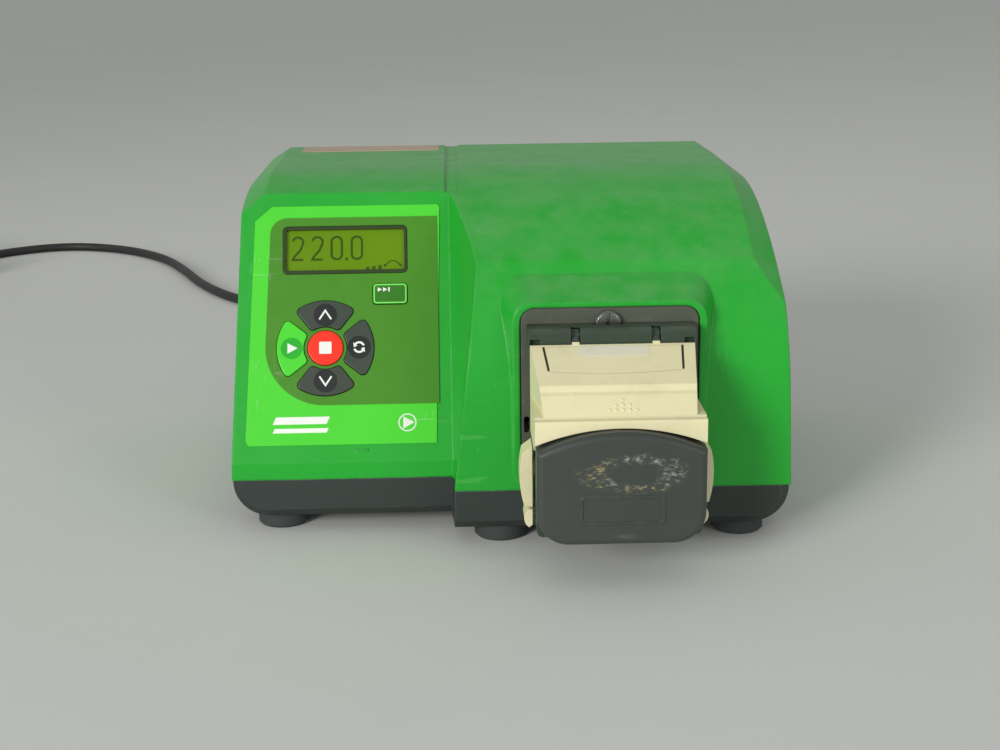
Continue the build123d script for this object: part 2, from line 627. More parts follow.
with BuildPart() as flip_top:
    with BuildSketch(Plane.YZ.offset(HEAD_X - TOP_HALF)):
        Polygon(*[(PLATE_FACE - d, z) for d, z in TOP_PROFILE], align=None)
    extrude(amount=2 * TOP_HALF)
    soft_edges = [
        e
        for e in flip_top.edges().filter_by(Axis.X)
        if abs(e.center().Z - RIDGE_Z) < 0.2 or abs(e.center().Z - 76.6) < 0.1
    ]
    fillet(soft_edges, radius=1.0)
    # The upper block narrows towards the front, and leaves a ledge above the apron.
    for side in (-1, 1):
        with BuildSketch(Plane.XY.offset(LEDGE_Z)):
            Polygon(
                (HEAD_X + side * TOP_HALF, PLATE_FACE - TOP_BACK),
                (HEAD_X + side * (TOP_HALF - TOP_TAPER), PLATE_FACE - TOP_FAR),
                (HEAD_X + side * (TOP_HALF + 8), PLATE_FACE - TOP_FAR),
                (HEAD_X + side * (TOP_HALF + 8), PLATE_FACE - TOP_BACK),
                align=None,
            )
        extrude(amount=TOP_BACK_Z - LEDGE_Z + 1, mode=Mode.SUBTRACT)
    # Hollow below the ledge.
    with BuildSketch(Plane.YZ.offset(HEAD_X - TOP_HALF + TOP_WALL)):
        Polygon(
            (PLATE_FACE - 49.4, 75.5),
            (PLATE_FACE - 51.6, 73.6),
            (PLATE_FACE - 51.6, 50),
            (PLATE_FACE - TOP_BACK + 2, 50),
            (PLATE_FACE - TOP_BACK + 2, 75.5),
            align=None,
        )
    extrude(amount=2 * (TOP_HALF - TOP_WALL), mode=Mode.SUBTRACT)
    # Narrower hollow above it, with the hinge side open under its top.
    with BuildSketch(Plane.YZ.offset(HEAD_X - UPPER_HOLLOW_HALF)):
        Polygon(
            (PLATE_FACE - TOP_BACK - TOP_WALL, TOP_BACK_Z - TOP_WALL * 1.6),
            (PLATE_FACE - RIDGE_DEPTH + 0.4, RIDGE_Z - TOP_WALL * 1.1),
            (PLATE_FACE - RIDGE_DEPTH - 0.6, 83.4),
            (PLATE_FACE - 48.6, 76.4),
            (PLATE_FACE - 51.6, 73.6),
            (PLATE_FACE - 51.6, 50),
            (PLATE_FACE - TOP_BACK + 2, 50),
            (PLATE_FACE - TOP_BACK + 2, 95),
            (PLATE_FACE - TOP_BACK - TOP_WALL, 95),
            align=None,
        )
    extrude(amount=2 * UPPER_HOLLOW_HALF, mode=Mode.SUBTRACT)
    # The front flange ends just above the arched guard.
    with BuildSketch(GUARD_PLANE):
        add(guard_outline(-0.4, GUARD_HALF + 3))
    extrude(amount=GUARD_THICK, mode=Mode.SUBTRACT)
    # The lower front corners of the side walls are cut back to swing past the guard.
    with BuildSketch(Plane.YZ.offset(HEAD_X - TOP_HALF - 1)):
        Polygon(
            (PLATE_FACE - 43.4, TOP_SIDE_LOW - 1),
            (PLATE_FACE - BODY_DEPTH - 0.3, 66.4),
            (PLATE_FACE - BODY_DEPTH - 0.3, TOP_SIDE_LOW - 1),
            align=None,
        )
    extrude(amount=2 * TOP_HALF + 2, mode=Mode.SUBTRACT)
    # Recess for the inlaid panel.
    with BuildSketch(SLOPE_PLANE.offset(0.5)):
        add(panel_outline(0))
    extrude(amount=-1.5, mode=Mode.SUBTRACT)
    # Hinge tabs.
    for x in TAB_SPOTS:
        with BuildSketch(Plane.YZ.offset(x - TAB_WIDTH / 2)):
            with Locations((HINGE_Y, HINGE_Z)):
                Circle(2.8)
            with BuildLine():
                Polyline(
                    (HINGE_Y - 0.4, HINGE_Z + 2.4),
                    (PLATE_FACE - TOP_BACK - 1, TOP_BACK_Z - 0.6),
                    (PLATE_FACE - TOP_BACK - 1, BAR_BOTTOM - 0.1),
                    (HINGE_Y - 0.4, HINGE_Z - 2.6),
                    close=True,
                )
            make_face()
            with Locations((HINGE_Y, HINGE_Z)):
                Circle(1.55, mode=Mode.SUBTRACT)
        extrude(amount=TAB_WIDTH)
flip_top.part.label = "flip_top"
export_step(flip_top.part, "parts/flip_top.step")

with BuildPart() as flip_top_panel:
    with BuildSketch(SLOPE_PLANE.offset(-1.0)):
        add(panel_outline(0.35))
    extrude(amount=1.0)
flip_top_panel.part.label = "flip_top_panel"
export_step(flip_top_panel.part, "parts/flip_top_panel.step")

# ---------------------------------------------------------------- track
TRACK_BACK = 18.0
TRACK_FRONT = 40.4
SLIDE_HALF = 8.0
with BuildPart() as track:
    with BuildSketch(ahead(TRACK_BACK)):
        with BuildLine():
            CenterArc((HEAD_X, SHAFT_Z), TRACK_OUTER, 12, 156)
            CenterArc((HEAD_X, SHAFT_Z), TRACK_INNER, 12, 156)
            for angle in (12, 168):
                away = Vector(math.cos(math.radians(angle)), math.sin(math.radians(angle)))
                middle = Vector(HEAD_X, SHAFT_Z)
                Line(middle + away * TRACK_INNER, middle + away * TRACK_OUTER)
        make_face()
    extrude(amount=TRACK_FRONT - TRACK_BACK)
    with BuildSketch(ahead(5.4)):
        with Locations((HEAD_X, 83.6)):
            Rectangle(2 * SLIDE_HALF, 5.2)
    extrude(amount=TRACK_BACK + 4 - 5.4)
track.part.label = "track"
export_step(track.part, "parts/track.step")

# ---------------------------------------------------------------- rotor
SHAFT_RADIUS = 4.0
PIN_RADIUS = 1.5
ROTOR_BACK = 15.0
ROTOR_FRONT = 44.0
DISC_THICK = 2.4
DISC_RADIUS = 20.0
ROLLER_COUNT = 4
roller_spots = [
    (
        HEAD_X + ROLLER_CIRCLE * math.cos(math.radians(45 + 90 * i)),
        SHAFT_Z + ROLLER_CIRCLE * math.sin(math.radians(45 + 90 * i)),
    )
    for i in range(ROLLER_COUNT)
]
with BuildPart() as rotor_hub:
    with BuildSketch(ahead(ROTOR_BACK)):
        with Locations((HEAD_X, SHAFT_Z)):
            Circle(7.5)
            Circle(SHAFT_RADIUS + 0.03, mode=Mode.SUBTRACT)
    extrude(amount=ROTOR_FRONT - ROTOR_BACK)
    for start in (ROTOR_BACK, ROTOR_FRONT - DISC_THICK):
        with BuildSketch(ahead(start)):
            with Locations((HEAD_X, SHAFT_Z)):
                Circle(DISC_RADIUS)
                Circle(SHAFT_RADIUS + 0.03, mode=Mode.SUBTRACT)
            with Locations(*roller_spots):
                Circle(PIN_RADIUS, mode=Mode.SUBTRACT)
        extrude(amount=DISC_THICK)
    # Moulded cap that closes the hub in front of the shaft.
    for radius, start, thick in ((7.5, ROTOR_FRONT, 2.0), (4.5, ROTOR_FRONT + 2.0, 1.6)):
        with BuildSketch(ahead(start)):
            with Locations((HEAD_X, SHAFT_Z)):
                Circle(radius)
        extrude(amount=thick)
rotor_hub.part.label = "rotor_hub"
export_step(rotor_hub.part, "parts/rotor_hub.step")

with BuildPart() as roller_pins:
    with BuildSketch(ahead(ROTOR_BACK)):
        with Locations(*roller_spots):
            Circle(PIN_RADIUS)
    extrude(amount=ROTOR_FRONT - ROTOR_BACK)
roller_pins.part.label = "roller_pins"
export_step(roller_pins.part, "parts/roller_pins.step")

for i, spot in enumerate(roller_spots):
    with BuildPart() as roller:
        with BuildSketch(ahead(ROTOR_BACK + DISC_THICK + 0.4)):
            with Locations(spot):
                Circle(ROLLER_RADIUS)
                Circle(PIN_RADIUS + 0.06, mode=Mode.SUBTRACT)
        extrude(amount=ROTOR_FRONT - ROTOR_BACK - 2 * DISC_THICK - 0.8)
        ends = roller.edges().filter_by(GeomType.CIRCLE).filter_by(lambda e: e.radius > 3)
        chamfer(ends, length=0.6)
    roller.part.label = f"roller_{i + 1}"
    export_step(roller.part, f"parts/roller_{i + 1}.step")

# ---------------------------------------------------------------- tube clamps
CLAMP_GAP = 0.7
CLAMP_BULGE = 5.6
CLAMP_DEPTH = 13.0
CLAMP_STEM = 5.6
for name, side in (("left", -1), ("right", 1)):
    inner = HEAD_X + side * (BODY_HALF + CLAMP_GAP + 0.5)
    outer = inner + side * CLAMP_BULGE
    stem_end = HEAD_X + side * (BODY_HALF - BODY_WALL - 2.0)
    with BuildPart() as tube_clamp:
        with BuildSketch(ahead(TUBE_SLOT_DEPTH - CLAMP_DEPTH / 2)):
            with BuildLine():
                Line((inner, 60.2), (inner, 31.8))
                Line((inner, 31.8), (outer - side * 1.8, 32.6))
                ThreePointArc((outer - side * 1.8, 32.6), (outer, 48.5), (outer - side * 1.2, 57.0))
                Line((outer - side * 1.2, 57.0), (inner, 60.2))
            make_face()
        extrude(amount=CLAMP_DEPTH)
        # Gap for the tube, a vee across the clamp's middle.
        with BuildSketch(Plane.YZ.offset(min(inner, outer) - 1)):
            with BuildLine():
                Polyline(
                    (PLATE_FACE - TUBE_SLOT_DEPTH + 2.6, 40.0),
                    (PLATE_FACE - TUBE_SLOT_DEPTH, 44.6),
                    (PLATE_FACE - TUBE_SLOT_DEPTH - 2.6, 40.0),
                    (PLATE_FACE - TUBE_SLOT_DEPTH, 35.4),
                    close=True,
                )
            make_face()
        extrude(amount=CLAMP_BULGE + 2, mode=Mode.SUBTRACT)
        # Stem that slides in the slot of the side wall.
        with BuildSketch(Plane.YZ.offset(min(inner, stem_end))):
            with Locations((PLATE_FACE - TUBE_SLOT_DEPTH, 49.0)):
                Rectangle(CLAMP_STEM, 7.0)
        extrude(amount=abs(inner - stem_end))
    tube_clamp.part.label = f"tube_clamp_{name}"
    export_step(tube_clamp.part, f"parts/tube_clamp_{name}.step")

    with BuildPart() as size_selector:
        with BuildSketch(ahead(TUBE_SLOT_DEPTH - CLAMP_DEPTH / 2)):
            with BuildLine():
                Line((inner, 30.6), (inner, 23.6))
                Line((inner, 23.6), (inner + side * 1.6, 22.2))
                crown = (inner + side * 3.8, 26.4)
                ThreePointArc((inner + side * 1.6, 22.2), crown, (inner + side * 1.6, 30.6))
                Line((inner + side * 1.6, 30.6), (inner, 30.6))
            make_face()
        extrude(amount=CLAMP_DEPTH)
        with BuildSketch(Plane.YZ.offset(min(inner, stem_end))):
            with Locations((PLATE_FACE - TUBE_SLOT_DEPTH, SELECTOR_STEM_Z)):
                Rectangle(SELECTOR_STEM, SELECTOR_STEM)
        extrude(amount=abs(inner - stem_end))
    size_selector.part.label = f"size_selector_{name}"
    export_step(size_selector.part, f"parts/size_selector_{name}.step")

# ---------------------------------------------------------------- gearmotor
BEARING_OUTER = SHAFT_BORE - 0.05
GEARBOX_RADIUS = 22.0
GEARBOX_LENGTH = 36.0
MOTOR_RADIUS = 20.0
MOTOR_LENGTH = 66.0


def behind(depth):
    """A front-facing sketch plane this far behind the mounting plate's back."""
    return front_plane(PLATE_BACK + depth)


with BuildPart() as shaft_bearing:
    with BuildSketch(behind(0)):
        with Locations((HEAD_X, SHAFT_Z)):
            Circle(BEARING_OUTER)
            Circle(SHAFT_RADIUS + 0.05, mode=Mode.SUBTRACT)
    extrude(amount=PLATE_THICK + 5)
shaft_bearing.part.label = "shaft_bearing"
export_step(shaft_bearing.part, "parts/shaft_bearing.step")

with BuildPart() as gearbox:
    with BuildSketch(behind(GEARBOX_LENGTH)):
        with Locations((HEAD_X, SHAFT_Z)):
            Circle(GEARBOX_RADIUS)
    extrude(amount=GEARBOX_LENGTH)
    rim = gearbox.edges().filter_by(GeomType.CIRCLE)
    chamfer(rim, length=1.0)
    with BuildSketch(behind(14)):
        with Locations((HEAD_X, SHAFT_Z)):
            Circle(SHAFT_RADIUS + 0.4)
    extrude(amount=14, mode=Mode.SUBTRACT)
gearbox.part.label = "gearbox"
export_step(gearbox.part, "parts/gearbox.step")

with BuildPart() as motor:
    with BuildSketch(behind(GEARBOX_LENGTH + MOTOR_LENGTH)):
        with Locations((HEAD_X, SHAFT_Z)):
            Circle(MOTOR_RADIUS)
    extrude(amount=MOTOR_LENGTH)
    chamfer(motor.edges().filter_by(GeomType.CIRCLE), length=1.5)
    with BuildSketch(behind(GEARBOX_LENGTH + MOTOR_LENGTH + 9)):
        with Locations((HEAD_X, SHAFT_Z)):
            Circle(MOTOR_RADIUS - 5)
    extrude(amount=9)
motor.part.label = "motor"
export_step(motor.part, "parts/motor.step")

with BuildPart() as drive_shaft:
    with BuildSketch(behind(12)):
        with Locations((HEAD_X, SHAFT_Z)):
            Circle(SHAFT_RADIUS)
    extrude(amount=12 + PLATE_THICK + ROTOR_FRONT)
drive_shaft.part.label = "drive_shaft"
export_step(drive_shaft.part, "parts/drive_shaft.step")

# ---------------------------------------------------------------- case screws
with BuildPart() as case_screws:
    for x, y, rib in CASE_SCREWS:
        with BuildSketch(Plane.XY.offset(TRAY_BOTTOM + 0.4)):
            with Locations((x, y)):
                Circle(3.2)
        extrude(amount=2.6)
        with BuildSketch(Plane.XY.offset(TRAY_BOTTOM + 3.0)):
            with Locations((x, y)):
                Circle(SCREW_RADIUS - 0.05)
        extrude(amount=24)
        with BuildSketch(Plane.XY.offset(TRAY_BOTTOM + 0.4)):
            with Locations((x, y)):
                RegularPolygon(1.5, 6)
        extrude(amount=1.4, mode=Mode.SUBTRACT)
case_screws.part.label = "case_screws"
export_step(case_screws.part, "parts/case_screws.step")

# ---------------------------------------------------------------- keypad
MEMBRANE_THICK = 0.5
MEMBRANE_OUTLINE = [
    (-126.0, 11.0),
    (-121.9, 120.6),
    (-113.5, 128.0),
    (-32.0, 128.0),
    (-30.8, 126.6),
    (-34.0, 8.4),
    (-124.6, 8.4),
]
PRINT_THICK = 0.25
KEY_PROUD = 1.5
KEY_CLEARANCE = 0.35
KEY_BACK = 1.0
STOP_SPOT = (-87.4, 56.0)
STOP_RADIUS = 8.6
RING_INNER = 10.6
RING_OUTER = 23.6
SECTOR_HALF_ANGLE = 38.0
MAX_KEY = (-55.7, 82.6)
MAX_KEY_SIZE = (16.6, 10.2)
BEZEL_SPOT = (-77.6, 105.4)
BEZEL_SIZE = (61.2, 24.4)
WINDOW_SIZE = (58.0, 20.6)
SECTORS = {"key_up": 90, "key_start": 180, "key_down": 270, "key_direction": 0}


def sector_key(direction, grow):
    """A quarter-ring key round the stop key, with round corners."""
    start = math.radians(direction - SECTOR_HALF_ANGLE)
    end = math.radians(direction + SECTOR_HALF_ANGLE)
    middle = math.radians(direction)
    corners = [Vector(math.cos(a), math.sin(a)) * r for a in (start, end) for r in (RING_INNER, RING_OUTER)]
    with BuildSketch() as outline:
        with BuildLine():
            Line(corners[0], corners[1])
            crown = Vector(math.cos(middle), math.sin(middle))
            ThreePointArc(corners[1], crown * RING_OUTER, corners[3])
            Line(corners[3], corners[2])
            ThreePointArc(corners[2], crown * RING_INNER, corners[0])
        make_face()
        fillet(outline.vertices(), radius=2.2)
        offset(amount=grow, mode=Mode.REPLACE)
    return outline.sketch


def stop_key(grow):
    """The round key in the middle of the ring."""
    with BuildSketch() as outline:
        Circle(STOP_RADIUS + grow)
    return outline.sketch


def max_key(grow):
    """The oblong key below the display."""
    with BuildSketch() as outline:
        RectangleRounded(MAX_KEY_SIZE[0] + 2 * grow, MAX_KEY_SIZE[1] + 2 * grow, 1.6 + grow)
    return outline.sketch


KEYS = {name: (STOP_SPOT, lambda grow, turn=turn: sector_key(turn, grow)) for name, turn in SECTORS.items()}
KEYS["key_stop"] = (STOP_SPOT, stop_key)
KEYS["key_max"] = (MAX_KEY, max_key)

with BuildPart() as keypad_membrane:
    with BuildSketch(KEYPAD.offset(0.02)):
        Polygon(*MEMBRANE_OUTLINE, align=None)
    extrude(amount=MEMBRANE_THICK)
    for spot, shape in KEYS.values():
        with BuildSketch(KEYPAD.offset(-1)):
            with Locations(spot):
                add(shape(KEY_CLEARANCE))
        extrude(amount=4, mode=Mode.SUBTRACT)
    with BuildSketch(KEYPAD.offset(-1)):
        with Locations(BEZEL_SPOT):
            RectangleRounded(BEZEL_SIZE[0] + 0.2, BEZEL_SIZE[1] + 0.2, 2.6)
    extrude(amount=4, mode=Mode.SUBTRACT)
keypad_membrane.part.label = "keypad_membrane"
export_step(keypad_membrane.part, "parts/keypad_membrane.step")

PRINT_BASE = 0.02 + MEMBRANE_THICK
with BuildPart() as keypad_print:
    with BuildSketch(KEYPAD.offset(PRINT_BASE)):
        with BuildLine():
            Polyline((-32.4, 27.8), (-32.1, 122.0), (-106.0, 122.0))
            RadiusArc((-106.0, 122.0), (-114.4, 113.6), -8.4)
            Line((-114.4, 113.6), (-116.6, 56.0))
            RadiusArc((-116.6, 56.0), (-87.0, 27.8), -29.0)
            Line((-87.0, 27.8), (-32.4, 27.8))
        make_face()
    extrude(amount=PRINT_THICK)
    for spot, shape in KEYS.values():
        with BuildSketch(KEYPAD.offset(-1)):
            with Locations(spot):
                add(shape(KEY_CLEARANCE))
        extrude(amount=4, mode=Mode.SUBTRACT)
    with BuildSketch(KEYPAD.offset(-1)):
        with Locations(BEZEL_SPOT):
            RectangleRounded(BEZEL_SIZE[0] + 0.2, BEZEL_SIZE[1] + 0.2, 2.6)
    extrude(amount=4, mode=Mode.SUBTRACT)
keypad_print.part.label = "keypad_print"
export_step(keypad_print.part, "parts/keypad_print.step")

for name, (spot, shape) in KEYS.items():
    with BuildPart() as key:
        with BuildSketch(KEYPAD.offset(-KEY_BACK)):
            with Locations(spot):
                add(shape(0))
        extrude(amount=KEY_BACK + KEY_PROUD)
        crown = key.faces().sort_by(Axis(KEYPAD.origin, KEYPAD.z_dir))[-1].outer_wire().edges()
        fillet(crown, radius=0.4)
    key.part.label = name
    export_step(key.part, f"parts/{name}.step")

KEYPAD_MIDDLE = ((KEYPAD_LEFT + KEYPAD_RIGHT) / 2, (KEYPAD_LOW + KEYPAD_HIGH) / 2)
KEYPAD_SIZE = (KEYPAD_RIGHT - KEYPAD_LEFT - 0.6, KEYPAD_HIGH - KEYPAD_LOW - 0.6)
with BuildPart() as keypad_backplate:
    with BuildSketch(KEYPAD.offset(-4.4)):
        with Locations(KEYPAD_MIDDLE):
            RectangleRounded(*KEYPAD_SIZE, 3.6)
    extrude(amount=2.0)
    with BuildSketch(KEYPAD.offset(-2.4)):
        with Locations(KEYPAD_MIDDLE):
            RectangleRounded(*KEYPAD_SIZE, 3.6)
            RectangleRounded(KEYPAD_SIZE[0] - 4, KEYPAD_SIZE[1] - 4, 2, mode=Mode.SUBTRACT)
    extrude(amount=2.4)
keypad_backplate.part.label = "keypad_backplate"
export_step(keypad_backplate.part, "parts/keypad_backplate.step")

with BuildPart() as display_bezel:
    with BuildSketch(KEYPAD.offset(-0.6)):
        with Locations(BEZEL_SPOT):
            RectangleRounded(*BEZEL_SIZE, 2.5)
            RectangleRounded(*WINDOW_SIZE, 1.2, mode=Mode.SUBTRACT)
    extrude(amount=1.7)
    rim = display_bezel.faces().sort_by(Axis(KEYPAD.origin, KEYPAD.z_dir))[-1].outer_wire().edges()
    chamfer(rim, length=0.4)
display_bezel.part.label = "display_bezel"
export_step(display_bezel.part, "parts/display_bezel.step")

with BuildPart() as display_window:
    with BuildSketch(KEYPAD.offset(0.0)):
        with Locations(BEZEL_SPOT):
            RectangleRounded(WINDOW_SIZE[0] - 0.1, WINDOW_SIZE[1] - 0.1, 1.1)
    extrude(amount=0.6)
display_window.part.label = "display_window"
export_step(display_window.part, "parts/display_window.step")

with BuildPart() as lcd_module:
    with BuildSketch(KEYPAD.offset(-2.2)):
        with Locations(BEZEL_SPOT):
            Rectangle(WINDOW_SIZE[0] + 2, WINDOW_SIZE[1] + 1)
    extrude(amount=1.5)
lcd_module.part.label = "lcd_module"
export_step(lcd_module.part, "parts/lcd_module.step")

with BuildPart() as control_board:
    with BuildSketch(KEYPAD.offset(-14)):
        with Locations(KEYPAD_MIDDLE):
            Rectangle(70, 90)
    extrude(amount=1.6)
    with BuildSketch(KEYPAD.offset(-14)):
        with Locations(KEYPAD_MIDDLE):
            with Locations((-20, 18), (18, -22)):
                Rectangle(20, 20)
            with Locations((20, 22), (-22, -20)):
                Rectangle(12, 26)
    extrude(amount=-3.0)
    with BuildSketch(KEYPAD.offset(-12.4)):
        with Locations(KEYPAD_MIDDLE):
            with GridLocations(61, 81, 2, 2):
                Circle(3)
    extrude(amount=8.0)
control_board.part.label = "control_board"
export_step(control_board.part, "parts/control_board.step")

# ---------------------------------------------------------------- power supply
TRAY_FLOOR = TRAY_BOTTOM + TRAY_WALL
with BuildPart() as power_board:
    with BuildSketch(Plane.XY.offset(TRAY_FLOOR + 6)):
        with Locations((-20.0, 92.0)):
            Rectangle(90, 66)
    extrude(amount=1.6)
    with BuildSketch(Plane.XY.offset(TRAY_FLOOR)):
        with Locations((-20.0, 92.0)):
            with GridLocations(80, 56, 2, 2):
                Circle(3)
    extrude(amount=6)
    with BuildSketch(Plane.XY.offset(TRAY_FLOOR + 7.6)):
        with Locations((-50.0, 76.0), (-50.0, 100.0)):
            Circle(8)
    extrude(amount=26)
    with BuildSketch(Plane.XY.offset(TRAY_FLOOR + 7.6)):
        with Locations((0.0, 84.0)):
            Rectangle(36, 6)
        with Locations((-4.0, 106.0)):
            Rectangle(28, 24)
    extrude(amount=30)
power_board.part.label = "power_board"
export_step(power_board.part, "parts/power_board.step")

with BuildPart() as transformer:
    with BuildSketch(Plane.XY.offset(TRAY_FLOOR)):
        with Locations((-84.0, 20.0)):
            Rectangle(50, 62)
    extrude(amount=50)
    chamfer(transformer.edges().filter_by(Axis.Z), length=2)
    with BuildSketch(Plane.XZ.offset(-62)):
        with Locations((-84.0, TRAY_FLOOR + 26)):
            RectangleRounded(34, 32, 5)
    extrude(amount=84)
transformer.part.label = "transformer"
export_step(transformer.part, "parts/transformer.step")

# ---------------------------------------------------------------- rear panel
INLET_SPOT = (-88.0, 56.0)
SWITCH_SPOT = (-88.0, 84.0)
FUSE_SPOT = (-52.0, 56.0)
SELECTOR_SPOT = (-52.0, 84.0)
VENT_SPOT = (52.0, 92.0)
PORT_SPOTS = [(-8.0, 56.0), (28.0, 56.0)]
INLET_CUT = (27.6, 20.4)
SWITCH_CUT = (19.4, 13.2)
FUSE_CUT = (14.4, 14.4)
SELECTOR_CUT = (16.4, 10.4)
PORT_CUT = (25.4, 11.4)
PANEL_SCREWS = [(-110.5, 38), (110.5, 38), (-110.5, 142), (110.5, 142), (0, 38), (0, 142)]
PANEL_FRONT = BACK - PANEL_THICK - 0.2


def rear(depth):
    """A front-facing sketch plane this far behind the front of the rear panel."""
    return front_plane(PANEL_FRONT + depth)


with BuildPart() as rear_panel:
    with BuildSketch(rear(PANEL_THICK)):
        with Locations((0, (REAR_LOW + REAR_HIGH) / 2)):
            Rectangle(2 * REAR_HALF - 0.4, REAR_HIGH - REAR_LOW - 0.4)
        with Locations(INLET_SPOT):
            Rectangle(*INLET_CUT, mode=Mode.SUBTRACT)
        with Locations(SWITCH_SPOT):
            Rectangle(*SWITCH_CUT, mode=Mode.SUBTRACT)
        with Locations(FUSE_SPOT):
            Rectangle(*FUSE_CUT, mode=Mode.SUBTRACT)
        with Locations(SELECTOR_SPOT):
            Rectangle(*SELECTOR_CUT, mode=Mode.SUBTRACT)
        with Locations(*PORT_SPOTS):
            Rectangle(*PORT_CUT, mode=Mode.SUBTRACT)
        with Locations(VENT_SPOT):
            with GridLocations(5.0, 0, 14, 1):
                SlotOverall(40, 2.4, rotation=90, mode=Mode.SUBTRACT)
        with Locations(*PANEL_SCREWS):
            Circle(1.6, mode=Mode.SUBTRACT)
    extrude(amount=PANEL_THICK)
rear_panel.part.label = "rear_panel"
export_step(rear_panel.part, "parts/rear_panel.step")

with BuildPart() as panel_screws:
    with BuildSketch(rear(PANEL_THICK)):
        with Locations(*PANEL_SCREWS):
            Circle(1.55)
    extrude(amount=7)
    with BuildSketch(rear(PANEL_THICK + 1.8)):
        with Locations(*PANEL_SCREWS):
            Circle(3.0)
    extrude(amount=1.8)
    with BuildSketch(rear(PANEL_THICK + 1.8)):
        with Locations(*PANEL_SCREWS):
            Rectangle(0.9, 4.2)
            Rectangle(4.2, 0.9)
    extrude(amount=1.0, mode=Mode.SUBTRACT)
panel_screws.part.label = "panel_screws"
export_step(panel_screws.part, "parts/panel_screws.step")

with BuildPart() as mains_inlet:
    with BuildSketch(rear(PANEL_THICK + 2.0)):
        with Locations(INLET_SPOT):
            RectangleRounded(33, 26, 3)
            Rectangle(24.0, 16.6, mode=Mode.SUBTRACT)
    extrude(amount=2.0)
    with BuildSketch(rear(PANEL_THICK)):
        with Locations(INLET_SPOT):
            Rectangle(INLET_CUT[0] - 0.3, INLET_CUT[1] - 0.3)
            Rectangle(24.0, 16.6, mode=Mode.SUBTRACT)
    extrude(amount=18)
    with BuildSketch(rear(PANEL_THICK - 15)):
        with Locations(INLET_SPOT):
            Rectangle(INLET_CUT[0] - 0.3, INLET_CUT[1] - 0.3)
    extrude(amount=3)
mains_inlet.part.label = "mains_inlet"
export_step(mains_inlet.part, "parts/mains_inlet.step")

with BuildPart() as inlet_pins:
    with BuildSketch(rear(PANEL_THICK - 2)):
        with Locations((INLET_SPOT[0] - 7, INLET_SPOT[1] - 2), (INLET_SPOT[0] + 7, INLET_SPOT[1] - 2)):
            Rectangle(2, 4)
        with Locations((INLET_SPOT[0], INLET_SPOT[1] + 2)):
            Rectangle(2, 4)
    extrude(amount=13)
inlet_pins.part.label = "inlet_pins"
export_step(inlet_pins.part, "parts/inlet_pins.step")

with BuildPart() as switch_frame:
    with BuildSketch(rear(PANEL_THICK + 1.6)):
        with Locations(SWITCH_SPOT):
            RectangleRounded(22, 15.6, 1.5)
            Rectangle(16.4, 10.8, mode=Mode.SUBTRACT)
    extrude(amount=1.6)
    with BuildSketch(rear(PANEL_THICK)):
        with Locations(SWITCH_SPOT):
            Rectangle(SWITCH_CUT[0] - 0.3, SWITCH_CUT[1] - 0.3)
            Rectangle(16.4, 10.8, mode=Mode.SUBTRACT)
    extrude(amount=14)
    with BuildSketch(rear(PANEL_THICK - 12)):
        with Locations(SWITCH_SPOT):
            Rectangle(SWITCH_CUT[0] - 0.3, SWITCH_CUT[1] - 0.3)
    extrude(amount=2)
switch_frame.part.label = "switch_frame"
export_step(switch_frame.part, "parts/switch_frame.step")

ROCKER_Y = PANEL_FRONT + PANEL_THICK - 2.0
with BuildPart() as power_rocker:
    with BuildSketch(Plane.XY.offset(SWITCH_SPOT[1] - 5.1)):
        with Locations((SWITCH_SPOT[0], ROCKER_Y)):
            with BuildLine():
                Polyline((-7.6, 3.4), (-5.6, -3.6), (5.6, -3.6), (7.6, 3.4), (0, 4.4), close=True)
            make_face()
            Circle(0.8, mode=Mode.SUBTRACT)
    extrude(amount=10.2)
power_rocker.part.label = "power_rocker"
export_step(power_rocker.part, "parts/power_rocker.step")

with BuildPart() as fuse_holder:
    with BuildSketch(rear(PANEL_THICK + 2.0)):
        with Locations(FUSE_SPOT):
            Circle(9.4)
            Circle(5.4, mode=Mode.SUBTRACT)
    extrude(amount=2.0)
    with BuildSketch(rear(PANEL_THICK)):
        with Locations(FUSE_SPOT):
            Circle(7.0)
            Circle(5.4, mode=Mode.SUBTRACT)
    extrude(amount=24)
fuse_holder.part.label = "fuse_holder"
export_step(fuse_holder.part, "parts/fuse_holder.step")

with BuildPart() as fuse_cap:
    with BuildSketch(rear(PANEL_THICK + 4.6)):
        with Locations(FUSE_SPOT):
            Circle(6.6)
    extrude(amount=2.4)
    with BuildSketch(rear(PANEL_THICK + 2.2)):
        with Locations(FUSE_SPOT):
            Circle(5.35)
    extrude(amount=8)
    with BuildSketch(rear(PANEL_THICK + 4.6)):
        with Locations(FUSE_SPOT):
            Rectangle(1.2, 9)
    extrude(amount=1.2, mode=Mode.SUBTRACT)
fuse_cap.part.label = "fuse_cap"
export_step(fuse_cap.part, "parts/fuse_cap.step")

with BuildPart() as voltage_selector:
    with BuildSketch(rear(PANEL_THICK + 0.8)):
        with Locations(SELECTOR_SPOT):
            Rectangle(20, 13)
            Rectangle(14, 6, mode=Mode.SUBTRACT)
    extrude(amount=0.8)
    with BuildSketch(rear(PANEL_THICK)):
        with Locations(SELECTOR_SPOT):
            Rectangle(SELECTOR_CUT[0] - 0.3, SELECTOR_CUT[1] - 0.3)
            Rectangle(14, 6, mode=Mode.SUBTRACT)
    extrude(amount=8)
voltage_selector.part.label = "voltage_selector"
export_step(voltage_selector.part, "parts/voltage_selector.step")

